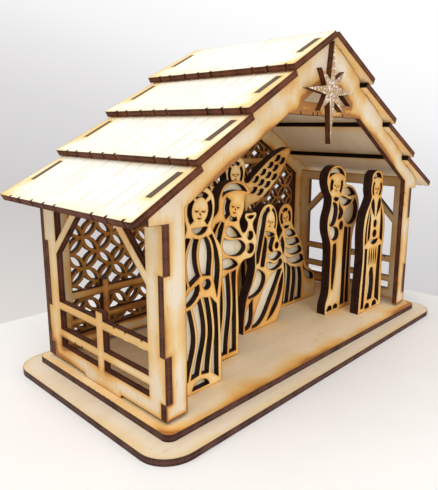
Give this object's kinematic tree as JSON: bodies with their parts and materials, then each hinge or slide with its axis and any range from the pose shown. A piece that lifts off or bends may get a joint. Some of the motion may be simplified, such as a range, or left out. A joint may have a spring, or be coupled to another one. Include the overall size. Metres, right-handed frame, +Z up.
{
  "type": "wooden nativity stable",
  "caption": "Open plywood nativity stable with lapped roof planks, side fences, a lattice back, a gable star and standing layered figures.",
  "frame": {"origin": "under the middle of the base plate", "axes": "+X to the right seen from the front, +Y from front to back, +Z up"},
  "size_m": [0.2358, 0.1216, 0.1663],
  "materials": {
    "frame_plywood": "bare birch plywood with scorched, charred edges",
    "roof_plywood": "bare birch plywood with engraved board lines and charred edges",
    "lattice_plywood": "bare plywood darkened by close cuts",
    "figure_plywood": "bare plywood with charred openings",
    "glitter_star": "silver and gold glitter on the face, charred edges"
  },
  "bodies": {
    "root": {"angel_backing": "figure_plywood", "angel_front": "figure_plywood", "back_frame": "frame_plywood", "back_lattice": "lattice_plywood", "base_plate": "frame_plywood", "crowned_bearer_backing": "figure_plywood", "crowned_bearer_front": "figure_plywood", "floor_plate": "frame_plywood", "front_frame": "frame_plywood", "kneeling_father_backing": "figure_plywood", "kneeling_father_front": "figure_plywood", "kneeling_mother_backing": "figure_plywood", "kneeling_mother_front": "figure_plywood", "left_bearer_backing": "figure_plywood", "left_bearer_front": "figure_plywood", "left_visitor_backing": "figure_plywood", "left_visitor_front": "figure_plywood", "left_wall": "frame_plywood", "right_wall": "frame_plywood", "roof_plank_left_1": "roof_plywood", "roof_plank_left_2": "roof_plywood", "roof_plank_left_3": "roof_plywood", "roof_plank_left_4": "roof_plywood", "roof_plank_right_1": "roof_plywood", "roof_plank_right_2": "roof_plywood", "roof_plank_right_3": "roof_plywood", "roof_plank_right_4": "roof_plywood", "star": "glitter_star", "turbaned_bearer_backing": "figure_plywood", "turbaned_bearer_front": "figure_plywood"}
  },
  "joints": []
}
